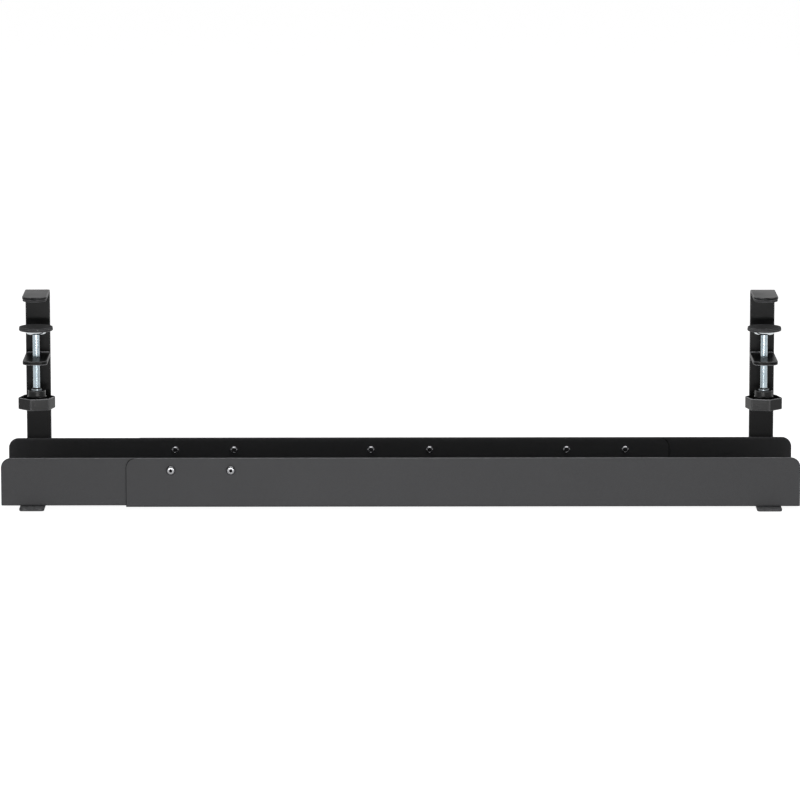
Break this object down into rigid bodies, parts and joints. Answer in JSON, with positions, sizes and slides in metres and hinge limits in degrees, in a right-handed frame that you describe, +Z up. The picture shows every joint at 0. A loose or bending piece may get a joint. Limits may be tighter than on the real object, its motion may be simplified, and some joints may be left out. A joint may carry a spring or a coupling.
{
  "type": "under-desk cable tray",
  "caption": "Long open cable tray of two nested sheet channels that pull apart, hung from a desk edge by bent flat brackets with screw clamps.",
  "frame": {"origin": "on the ground under the middle of the closed tray, midway between the front ends of the feet and the backs of the brackets", "axes": "+X along the tray from the inner channel to the outer channel, -Y towards the tray's front wall, +Z up"},
  "size_m": [0.8, 0.1354, 0.2066],
  "materials": {
    "powder_coat": "fine matte black powder coat",
    "satin_coat": "smooth satin black powder coat, deeper than the channels",
    "black_steel": "satin black oxide",
    "coated_steel": "matte black coat",
    "black_plastic": "moulded, slightly textured",
    "soft_pad": "matte",
    "zinc": "bright zinc plate"
  },
  "bodies": {
    "outer_tray": {"outer_channel": "powder_coat", "front_length_screws": "black_steel", "back_length_screws": "black_steel", "right_bracket": "satin_coat", "right_tab": "satin_coat", "right_hook_pad": "soft_pad", "right_bracket_screws": "black_steel"},
    "inner_tray": {"inner_channel": "powder_coat", "front_length_inserts": "coated_steel", "back_length_inserts": "coated_steel", "left_bracket": "satin_coat", "left_tab": "satin_coat", "left_hook_pad": "soft_pad", "left_bracket_screws": "black_steel"},
    "left_pad": {"left_pad_face": "soft_pad", "left_pad_plate": "black_plastic", "left_swivel_cup": "zinc"},
    "left_screw": {"left_spindle": "zinc", "left_knob": "black_plastic", "left_knob_collar": "zinc"},
    "right_pad": {"right_pad_face": "soft_pad", "right_pad_plate": "black_plastic", "right_swivel_cup": "zinc"},
    "right_screw": {"right_spindle": "zinc", "right_knob": "black_plastic", "right_knob_collar": "zinc"}
  },
  "joints": [
    {"name": "tray_extend", "type": "slide", "parent": "outer_tray", "child": "inner_tray", "axis": [-1, 0, 0], "range_m": [0, 0.4]},
    {"name": "left_clamp_travel", "type": "slide", "parent": "inner_tray", "child": "left_pad", "axis": [0, 0, 1], "range_m": [-0.0235, 0.027]},
    {"name": "left_screw_turn", "type": "hinge", "parent": "left_pad", "child": "left_screw", "pos_m": [-0.3689, 0.032, 0.169], "axis": [0, 0, 1], "range_deg": [-8462, 9722]},
    {"name": "right_clamp_travel", "type": "slide", "parent": "outer_tray", "child": "right_pad", "axis": [0, 0, 1], "range_m": [-0.0235, 0.027]},
    {"name": "right_screw_turn", "type": "hinge", "parent": "right_pad", "child": "right_screw", "pos_m": [0.3689, 0.0335, 0.1677], "axis": [0, 0, 1], "range_deg": [-8462, 9722]}
  ],
  "couplings": [
    {"joint": "left_screw_turn", "follows": "left_clamp_travel", "rad_per_m": 6283.2},
    {"joint": "right_screw_turn", "follows": "right_clamp_travel", "rad_per_m": 6283.2}
  ]
}
